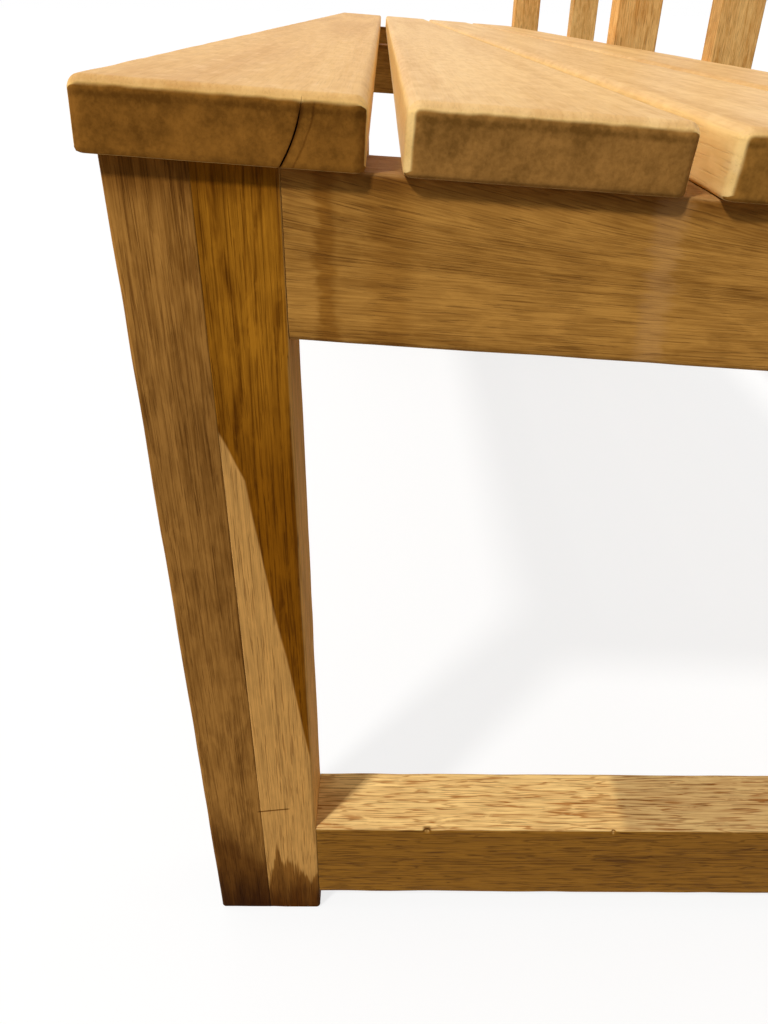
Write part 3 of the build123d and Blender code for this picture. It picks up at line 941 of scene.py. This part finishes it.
# Painted shade on a leg's front stave: where it starts and where it is full
FRONT_STAVE_SHADE_TOP = 400 * MM
FRONT_STAVE_SHADE_FULL = 320 * MM
DEEP_TOP = 380 * MM
DEEP_FULL = 285 * MM
SCRATCH_START = 28.5 * MM
SCRATCH_END = 45.8 * MM
SCRATCH_HEIGHT = 91.7 * MM
SCRATCH_RISE = 0.156
SCRATCH_HALF_WIDTH = 0.45 * MM
BAND_PLACE = 74.5 * MM
BAND_HALF = 3.5 * MM
BAND_WANDER = 6 * MM
FAINT_BAND_PLACE = 97 * MM
PALE_BAND_PLACE = 193 * MM
PALE_BAND_HALF = 4.5 * MM
PALE_BAND = (0.70, 0.40, 0.18)
# How far the painted shade reaches down a leg's and a rail's sides below the planks
LEG_PAINTED_SHADE_REACH = 20 * MM
RAIL_PAINTED_SHADE_REACH = 10 * MM
RAIL_SWEEP = 0.17
# Painted shadow on the near stretcher's top: where it starts and where it is full
SHADE_START = 231 * MM
SHADE_FULL = 239 * MM


def mark_foot(wood, front):
    """Dirt on a leg above the floor, highest at its front corner, and painted shade on the front stave's
    lower part.
    """
    t = wood.tree
    cloud = wood.cloud(DIRT_CLOUDS, detail=4.0)
    height = t.scaled(cloud, -2 * DIRT_RAGGED, t.plus(wood.world[Z], DIRT_RAGGED))
    wood.stain(t.smooth(height, FOOT_DIRT_TOP, FOOT_DIRT_FULL), 0.9, DIRT)
    along = t.minus(wood.world[Y], front)
    height = t.scaled(along, CORNER_DIRT_FALL, height)
    front_stave = t.minus(1.0, wood.back_stave)
    corner = t.times(t.smooth(height, CORNER_DIRT_TOP, CORNER_DIRT_FULL), front_stave)
    wood.stain(corner, 0.8, DIRT)
    # Painted shade that darkens the front stave below the seat
    painted_front_shade = t.times(front_stave, t.smooth(wood.world[Z], FRONT_STAVE_SHADE_TOP, FRONT_STAVE_SHADE_FULL))
    wood.stain(painted_front_shade, 0.48, SHADE)


def mark_sapwood(wood, glue):
    """Pale sapwood that starts in a point at the glue line and widens down the back stave."""
    t = wood.tree
    from_glue = t.minus(wood.world[Y], glue)
    wave = wood.cloud(SAP_WAVES, detail=3.0)
    down = t.minus(SAP_TOP, wood.world[Z])
    edge = t.scaled(down, SAP_SPREAD, SAP_WIDTH_THERE)
    edge = t.math("MINIMUM", edge, t.times(down, SAP_POINT_SPREAD))
    edge = t.scaled(wave, 2 * SAP_WAVE, t.minus(edge, SAP_WAVE))
    inside = t.smooth(t.minus(edge, from_glue), -0.5 * MM, 0.7 * MM)
    inside = t.math("MAXIMUM", inside, t.smooth(wood.normal[Y], 0.3, 0.8))
    sap = t.times(inside, wood.back_stave)
    figure = t.smooth(wood.figure, 0.3, 0.7)
    deep = t.scaled(wood.streak, 0.4, t.times(figure, 0.2), clamp=True)
    pale = t.mix(deep, SAPWOOD, SAPWOOD_STREAK)
    wood.face = t.mix(t.times(sap, 0.92), wood.face, pale)


def mark_patch(wood, front):
    """Dark damp patch at the back stave's foot, with a pointed top."""
    t = wood.tree
    along = t.minus(wood.world[Y], front + PATCH_PEAK[0])
    flames = wood.cloud(FLAMES, detail=3.0, roughness=0.6)
    top = t.math("MINIMUM", t.times(along, -PATCH_FALL), t.times(along, PATCH_RISE))
    top = t.scaled(flames, 2 * PATCH_RAGGED, t.plus(top, PATCH_PEAK[1] - PATCH_RAGGED))
    patch = t.smooth(t.minus(top, wood.world[Z]), -2 * MM, 4 * MM)
    wood.stain(t.times(patch, wood.back_stave), 0.85)


def mark_scratch(wood, front):
    """Thin dark scratch across the glue line."""
    t = wood.tree
    along = t.minus(wood.world[Y], front)
    line = t.scaled(along, SCRATCH_RISE, SCRATCH_HEIGHT - SCRATCH_RISE * SCRATCH_START)
    off = t.minus(wood.world[Z], line)
    scratch = t.near(off, 0.0, SCRATCH_HALF_WIDTH, SCRATCH_HALF_WIDTH)
    middle = (SCRATCH_START + SCRATCH_END) / 2
    reach = t.near(along, middle, (SCRATCH_END - SCRATCH_START) / 2, MM)
    wood.stain(scratch, reach, DIRT)


def mark_near_leg(wood, low, high):
    """The near leg's golden back stave, deeper in colour lower down, with all its marks."""
    t = wood.tree
    wood.stain(wood.back_stave, 0.9, GOLDEN)
    deep = t.times(wood.back_stave, t.smooth(wood.world[Z], DEEP_TOP, DEEP_FULL))
    wood.stain(deep, 0.85, DEEP)
    wood.stain(t.times(wood.vein, wood.back_stave), 0.5)
    mark_sapwood(wood, (low[Y] + high[Y]) / 2)
    mark_patch(wood, low[Y])
    mark_scratch(wood, low[Y])


def mark_near_rail(wood, leg_low):
    """Upright bands on the rail: two dark ones where wet has run down, and a pale one."""
    t = wood.tree
    along = t.minus(wood.world[Y], leg_low[Y])
    along = t.scaled(wood.figure, 2 * BAND_WANDER, t.minus(along, BAND_WANDER))
    wood.stain(t.near(along, BAND_PLACE, BAND_HALF, 2 * MM), 0.75, WET)
    wood.stain(t.near(along, FAINT_BAND_PLACE, 2 * BAND_HALF, 4 * MM), 0.4, WET)
    pale = t.near(along, PALE_BAND_PLACE, PALE_BAND_HALF, 3 * MM)
    wood.face = t.mix(t.times(pale, 0.2), wood.face, PALE_BAND)


def paint_shade_under_seat(wood, reach):
    """Painted shade on a frame's sides close below the planks."""
    t = wood.tree
    drop = t.minus(wood.half[Z], wood.local[Z])
    beside = t.smooth(t.math("ABSOLUTE", wood.normal[X]), 0.5, 0.9)
    wood.stain(t.times(t.smooth(drop, reach, reach / 4), beside), 0.7)


def mark_near_stretcher(wood, leg_low, leg_high):
    """The stretcher's top with a painted shadow past a soft line, and a darker spot in its larger nick."""
    t = wood.tree
    along = t.minus(wood.world[Y], leg_low[Y])
    upward = t.smooth(wood.normal[Z], 0.4, 0.8)
    # Painted shadow on the top, past a soft line
    wood.stain(t.times(t.smooth(along, SHADE_START, SHADE_FULL), upward), 0.7, SHADE)
    # A darker spot in the larger nick
    at_nick = t.near(t.minus(wood.world[Y], leg_high[Y]), NICK_PLACES[0][0], 2 * MM, MM)
    arris = wood.half[X] + wood.half[Z]
    from_arris = t.minus(arris, t.plus(wood.local[X], wood.local[Z]))
    wood.stain(t.times(at_nick, t.smooth(from_arris, 3.2 * MM, 1.5 * MM)), 0.9, DIRT)


def mark_scuffs(wood):
    """Pale rubbed spots on a plank."""
    t = wood.tree
    spots = wood.cloud(SCUFFS, detail=3.0, roughness=0.6)
    wood.face = t.mix(t.times(t.smooth(spots, 0.56, 0.72), 0.35), wood.face, SCUFF)


def dress_frame(side, seed):
    """Replace one frame's leg, rail and stretcher by worn meshes; the right frame is the near one."""
    leg, rail, stretcher = f"front_leg_{side}", f"seat_rail_{side}", f"floor_stretcher_{side}"
    leg_low, leg_high = node_corners(leg)
    wood = Oak(f"oak_leg_{side}", leg_low, leg_high, Z, LEG_TONE, seed + 1, staves=True)
    if side == NEAR_SIDE:
        mark_near_leg(wood, leg_low, leg_high)
    mark_foot(wood, leg_low[Y])
    # Painted shade below the planks
    paint_shade_under_seat(wood, LEG_PAINTED_SHADE_REACH)
    material = wood.finish(roughness=0.72, wear_and_highlight_share=0.15, specular=0.03)
    stand_for(leg, leg_mesh(side, seed + 1), material)
    low, high = node_corners(rail, SEAT_TURN)
    wood = Oak(f"oak_rail_{side}", low, high, Y, RAIL_TONE, seed + 3, SEAT_SLOPE, sweep=RAIL_SWEEP)
    # Painted shade below the planks
    paint_shade_under_seat(wood, RAIL_PAINTED_SHADE_REACH)
    if side == NEAR_SIDE:
        mark_near_rail(wood, leg_low)
    stand_for(rail, rail_mesh(side, seed + 3), wood.finish())
    low, high = node_corners(stretcher)
    wood = Oak(f"oak_stretcher_{side}", low, high, Y, LOW_TONE, seed + 5)
    if side == NEAR_SIDE:
        mark_near_stretcher(wood, leg_low, leg_high)
    stand_for(stretcher, stretcher_mesh(side, seed + 5), wood.finish())


def dress_plank(number, seed):
    """Replace a seat plank by a worn mesh."""
    node = f"seat_plank_{number}"
    low, high = node_corners(node, SEAT_TURN)
    corners = (-1, 1) if number == 1 else (1,)
    wood = Oak(f"oak_plank_{number}", low, high, X, SEAT_TONE, seed, SEAT_SLOPE, dark_corners=corners)
    wood.end = PLANK_ENDS[number - 1]
    wood.stain(1.0, PLANK_SHADES[number - 1], PLANK_TAN)
    mark_scuffs(wood)
    if number == CRACKED_PLANK:
        mark_crack(wood)
    material = wood.finish(roughness=0.48, bump=0.1 * MM, specular=0.06)
    stand_for(node, plank_mesh(number, seed), material)


# Pieces that keep their CAD shape

ZINC_DARK = (0.50, 0.49, 0.46)
ZINC_LIGHT = (0.68, 0.67, 0.64)


def steel():
    """Bright zinc of the screws, faintly brushed."""
    t = Tree(bpy.data.materials.new("screw_steel"))
    coordinates = t.tree.nodes.new("ShaderNodeTexCoord")
    cloud = t.noise(coordinates.outputs["Object"], scale=900.0, detail=3.0)["Fac"]
    colour = t.mix(cloud, ZINC_DARK, ZINC_LIGHT)
    t.fill(t.shader, {"Base Color": colour, "Roughness": t.scaled(cloud, 0.25, 0.22), "Metallic": 1.0})
    return t.owner


def other_oak():
    """Oak pieces that keep their CAD shape: node, direction of the grain, tone, and if it has staves."""
    for side in SIDES:
        for member in ("front_post", "rear_post"):
            yield f"{member}_{side}", Z, POST_TONE, True
        for member in ("post_tie_low", "post_tie_seat", "shelf_bearer"):
            yield f"{member}_{side}", Y, POST_TONE, False
    for bay in ("left", "right"):
        yield f"rear_rail_{bay}", X, POST_TONE, False
    for node in ("peg_board", "shelf_slat_1", "shelf_slat_2", "shelf_slat_3", "shelf_slat_4"):
        yield node, X, BOARD_TONE, False
    for node in sorted(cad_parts):
        if node.startswith("coat_peg"):
            yield node, Y, TURNED_TONE, False
    for node, grain in (("leg_dowels", Z), ("peg_board_plugs", Z), ("shelf_plugs", X)):
        yield node, grain, TURNED_TONE, False


def dress_other_pieces():
    """Materials for everything that keeps its CAD shape."""
    for seed, (node, grain, tone, staves) in enumerate(other_oak(), OTHER_SEED):
        low, high = node_corners(node)
        wood = Oak("oak_" + node, low, high, grain, tone, seed, staves=staves)
        paint(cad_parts[node].data, wood.finish())
    zinc = steel()
    for node in ("seat_screws", "peg_board_screws", "shelf_screws"):
        paint(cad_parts[node].data, zinc)


# Floor, light and camera

FLOOR_HALF = 60.0
FLOOR_WHITE = 0.95
FLOOR_BOUNCE = 0.3
FLOOR_GLOW_SHARE = 0.8
SKY_LIGHT = 0.2
LAMP_COLOUR = (1.0, 0.985, 0.96)


def seen_by_eye(tree):
    """1 for rays that come from the camera, a mirror or glass."""
    path = tree.tree.nodes.new("ShaderNodeLightPath")
    seen = tree.math("MAXIMUM", path.outputs["Is Camera Ray"], path.outputs["Is Glossy Ray"])
    return tree.math("MAXIMUM", seen, path.outputs["Is Transmission Ray"])


def make_floor():
    """Wide pale floor that keeps the bench's shadow."""
    half = FLOOR_HALF
    mesh = bpy.data.meshes.new("floor")
    corners = [(-half, -half, 0), (half, -half, 0), (half, half, 0), (-half, half, 0)]
    mesh.from_pydata(corners, [], [(0, 1, 2, 3)])
    floor = put_in_scene("floor", mesh)
    t = Tree(bpy.data.materials.new("floor_paint"))
    seen = seen_by_eye(t)
    colour = t.mix(seen, (FLOOR_BOUNCE,) * 3, (FLOOR_WHITE,) * 3)
    t.fill(t.shader, {"Base Color": colour, "Roughness": 1.0, "Specular IOR Level": 0.0})
    glow = t.tree.nodes.new("ShaderNodeEmission")
    both = t.tree.nodes.new("ShaderNodeMixShader")
    shares = (t.times(seen, FLOOR_GLOW_SHARE), t.shader.outputs[0], glow.outputs[0])
    for socket, value in zip(both.inputs, shares):
        t.put(socket, value)
    t.put(t.tree.nodes["Material Output"].inputs["Surface"], both.outputs[0])
    paint(mesh, t.owner)


def make_sky():
    """Even white all round; what the camera sees of it is plain white."""
    world = bpy.data.worlds.new("sky")
    bpy.context.scene.world = world
    t = Tree(world)
    background = t.tree.nodes["Background"]
    seen = seen_by_eye(t)
    t.put(background.inputs["Strength"], t.scaled(seen, 1 - SKY_LIGHT, SKY_LIGHT))
    t.put(background.inputs["Color"], t.mix(seen, LAMP_COLOUR, (1.0, 1.0, 1.0)))


def sun(name, travel, strength, softness):
    """Lamp at no distance, so that it lights the whole length of the bench alike."""
    data = bpy.data.lights.new(name, "SUN")
    data.energy = strength
    data.angle = math.radians(softness)
    data.color = LAMP_COLOUR
    lamp = put_in_scene(name, data)
    lamp.rotation_mode = "QUATERNION"
    lamp.rotation_quaternion = Vector(travel).to_track_quat("-Z", "Y")


def make_light():
    """A key from the front and above, a broad one overhead, and low fills on the front and the back."""
    sun("key", (-0.60, 0.53, -1.0), 2.4, 6)
    sun("overhead", (0.35, 0.1, -1.0), 0.75, 60)
    sun("front_fill", (0.1, 1.0, -0.35), 0.82, 45)
    sun("back_fill", (0.25, -1.0, -0.35), 0.7, 45)


def make_camera():
    """Camera where the photograph was taken from."""
    forward = Vector((
        -math.cos(CAMERA_TURN) * math.cos(CAMERA_DOWN),
        math.sin(CAMERA_TURN) * math.cos(CAMERA_DOWN),
        -math.sin(CAMERA_DOWN),
    ))
    level = Vector((math.sin(CAMERA_TURN), math.cos(CAMERA_TURN), 0))
    down = forward.cross(level)
    right = level * math.cos(CAMERA_ROLL) + down * math.sin(CAMERA_ROLL)
    up = level * math.sin(CAMERA_ROLL) - down * math.cos(CAMERA_ROLL)
    data = bpy.data.cameras.new("camera")
    data.sensor_width = SENSOR
    data.lens = FOCAL_PIXELS * SENSOR / PICTURE_HEIGHT
    data.clip_start = 0.01
    data.clip_end = 200
    camera = put_in_scene("camera", data)
    turn = Matrix((right, up, -forward)).transposed()
    camera.matrix_world = Matrix.Translation(CAMERA_PLACE) @ turn.to_4x4()
    bpy.context.scene.camera = camera


for frame_side, frame_seed in zip(SIDES, FRAME_SEEDS):
    dress_frame(frame_side, frame_seed)
for plank_number, plank_seed in enumerate(PLANK_SEEDS, 1):
    dress_plank(plank_number, plank_seed)
dress_other_pieces()
make_floor()
make_sky()
make_light()
make_camera()
bpy.context.scene.view_settings.view_transform = "Standard"
